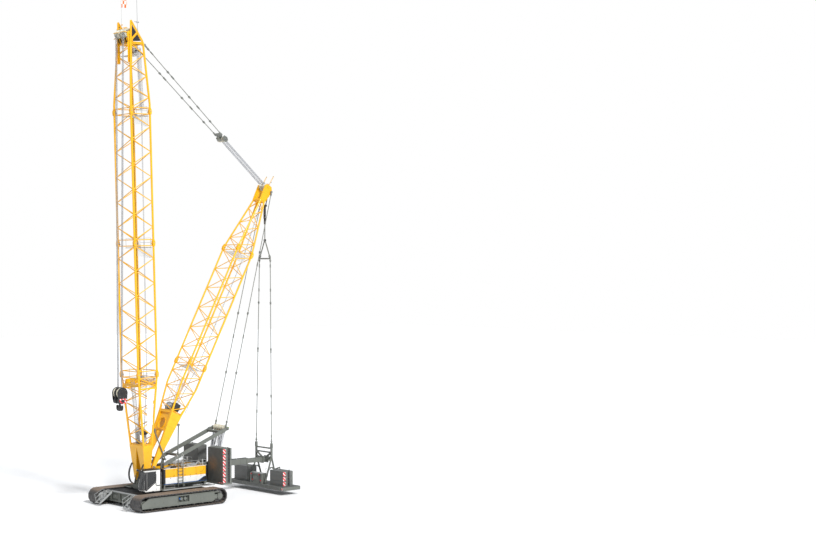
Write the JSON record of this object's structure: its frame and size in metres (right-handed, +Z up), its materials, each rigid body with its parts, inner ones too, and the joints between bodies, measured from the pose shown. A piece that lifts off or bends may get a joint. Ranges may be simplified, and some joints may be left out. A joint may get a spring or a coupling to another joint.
{
  "type": "crawler crane scale model",
  "caption": "Crawler crane with lattice main boom, leaning derrick boom, stays, hook block and a guided, hanging derrick ballast tray; it slews, luffs and hoists.",
  "frame": {"origin": "on the ground under the slewing axis", "axes": "+Z up along the slewing axis, +X forward over the front of the tracks at rest, +Y to the driver's left"},
  "size_m": [9.2359, 4.4, 23.4781],
  "materials": {
    "black_parts": "satin black paint",
    "cab_glass": "dark tinted",
    "cab_trim": "grained",
    "cab_white": "gloss paint",
    "crane_yellow": "semi-gloss paint",
    "flag_cloth": "woven",
    "grey_steel": "matt grey paint",
    "house_white": "semi-gloss paint",
    "machine_grey": "satin grey-green paint",
    "sheave_cream": "satin cast nylon",
    "steel_rope": "greased wire rope",
    "track_steel": "worn steel, dusty",
    "undercarriage_paint": "matt grey-green paint",
    "weight_grey": "matt dark grey paint"
  },
  "bodies": {
    "undercarriage": {"car_body": "undercarriage_paint", "decks": "black_parts", "stairs": "grey_steel", "slew_ring": "black_parts", "track_wheels": "track_steel", "track_frame_left": "undercarriage_paint", "track_frame_right": "undercarriage_paint", "track_loop_left": "track_steel", "track_loop_right": "track_steel"},
    "superstructure": {"slewing_platform": "machine_grey", "engine": "black_parts", "winches": "grey_steel", "walkways": "grey_steel", "access_ladder": "machine_grey", "weight_carrier": "machine_grey", "ballast_guide": "machine_grey", "a_frame_falls": "steel_rope", "house_lower_left": "house_white", "house_lower_right": "house_white", "house_upper_left": "crane_yellow", "house_upper_right": "crane_yellow", "counterweight_left": "weight_grey", "counterweight_right": "weight_grey"},
    "cab": {"cab_shell": "cab_white", "cab_glass": "cab_glass", "cab_interior": "cab_trim"},
    "door": {"cab_door": "cab_white", "cab_door_glass": "cab_glass"},
    "main_boom": {"boom_foot": "crane_yellow", "boom_section_lower": "crane_yellow", "boom_section_upper": "crane_yellow", "boom_head": "crane_yellow", "boom_winch": "grey_steel", "flag_mast": "flag_cloth"},
    "boom_sheaves": {"hoist_sheaves": "sheave_cream"},
    "hook_ropes": {"hoist_falls": "steel_rope"},
    "hook_block": {"hook_block": "black_parts"},
    "hook": {"hook": "black_parts"},
    "stays": {"stay_pendants": "machine_grey", "stay_block": "machine_grey"},
    "stay_ropes": {"stay_falls": "steel_rope"},
    "derrick": {"derrick_foot": "crane_yellow", "derrick_section": "crane_yellow", "derrick_head": "crane_yellow", "derrick_sheaves": "sheave_cream", "derrick_winch": "grey_steel", "derrick_stops": "machine_grey"},
    "back_stays": {"back_stays": "machine_grey"},
    "a_frame": {"a_frame": "machine_grey", "a_frame_sheaves": "sheave_cream"},
    "pull_cylinder": {"pull_cylinder": "black_parts"},
    "ballast_rods": {"ballast_rods": "machine_grey"},
    "ballast": {"guide_inner": "machine_grey", "ballast_frame": "machine_grey", "ballast_tray": "machine_grey", "ballast_core": "machine_grey", "ballast_stack_left": "weight_grey", "ballast_stack_right": "weight_grey"}
  },
  "joints": [
    {"name": "slew", "type": "hinge", "parent": "undercarriage", "child": "superstructure", "pos_m": [0, 0, 0.738], "axis": [0, 0, 1], "continuous": true},
    {"name": "boom_luff", "type": "hinge", "parent": "superstructure", "child": "main_boom", "pos_m": [0.85, 0, 1.2], "axis": [0, 1, 0], "range_deg": [0, 60]},
    {"name": "sheave_hang", "type": "hinge", "parent": "main_boom", "child": "boom_sheaves", "pos_m": [1.85029, 0, 21.56863], "axis": [0, 1, 0], "range_deg": [-60, 0]},
    {"name": "rope_takeup", "type": "slide", "parent": "boom_sheaves", "child": "hook_ropes", "axis": [0, 0, 1], "range_m": [0, 11.0506], "deforming": ["hoist_falls"]},
    {"name": "hoist", "type": "slide", "parent": "hook_ropes", "child": "hook_block", "axis": [0, 0, 1], "range_m": [-3.6, 2]},
    {"name": "hook_swivel", "type": "hinge", "parent": "hook_block", "child": "hook", "pos_m": [2.04029, 0, 4.82], "axis": [0, 0, 1], "continuous": true},
    {"name": "stay_swing", "type": "hinge", "parent": "main_boom", "child": "stays", "pos_m": [0.95, 0, 21.1], "axis": [0, 1, 0], "range_deg": [-10.2, 0]},
    {"name": "stay_reeve", "type": "slide", "parent": "stays", "child": "stay_ropes", "axis": [-0.7539, 0, -0.657], "range_m": [0, 15.1437], "deforming": ["stay_falls"]},
    {"name": "derrick_luff", "type": "hinge", "parent": "superstructure", "child": "derrick", "pos_m": [0.54, 0, 1.74], "axis": [0, 1, 0], "range_deg": [-5, 0]},
    {"name": "back_stay_swing", "type": "hinge", "parent": "derrick", "child": "back_stays", "pos_m": [-6.37844, 0, 14.59915], "axis": [0, 1, 0], "range_deg": [0, 0.039]},
    {"name": "a_frame_tilt", "type": "hinge", "parent": "superstructure", "child": "a_frame", "pos_m": [0, 0, 1.85], "axis": [0, 1, 0], "range_deg": [-5.88, 0], "deforming": ["a_frame_falls"]},
    {"name": "ballast_swing", "type": "hinge", "parent": "derrick", "child": "pull_cylinder", "pos_m": [-6.23712, 0, 14.39075], "axis": [0, 1, 0], "range_deg": [0, 5]},
    {"name": "ballast_pull", "type": "slide", "parent": "pull_cylinder", "child": "ballast_rods", "axis": [0, 0, 1], "range_m": [0, 0.6438]},
    {"name": "ballast_shift", "type": "slide", "parent": "superstructure", "child": "ballast", "axis": [1, 0, 0], "range_m": [-1.0818, 0]},
    {"name": "cab_tilt", "type": "hinge", "parent": "superstructure", "child": "cab", "pos_m": [0.775, 0.815, 0.815], "axis": [0, 1, 0], "range_deg": [-15, 0]},
    {"name": "door_swing", "type": "hinge", "parent": "cab", "child": "door", "pos_m": [0.935, 1.315, 1.25], "axis": [0, 0, 1], "range_deg": [0, 90]}
  ],
  "couplings": [
    {"joint": "sheave_hang", "follows": "boom_luff", "ratio": -1},
    {"joint": "rope_takeup", "follows": "boom_luff", "m_per_rad": 10.552},
    {"joint": "stay_swing", "follows": "boom_luff", "ratio": -0.16832},
    {"joint": "stay_reeve", "follows": "boom_luff", "m_per_rad": 14.452},
    {"joint": "back_stay_swing", "follows": "derrick_luff", "ratio": -0.00713},
    {"joint": "a_frame_tilt", "follows": "derrick_luff", "ratio": 1.1558},
    {"joint": "ballast_swing", "follows": "derrick_luff", "ratio": -1},
    {"joint": "ballast_pull", "follows": "derrick_luff", "m_per_rad": -7.3202},
    {"joint": "ballast_shift", "follows": "derrick_luff", "m_per_rad": 12.339}
  ]
}
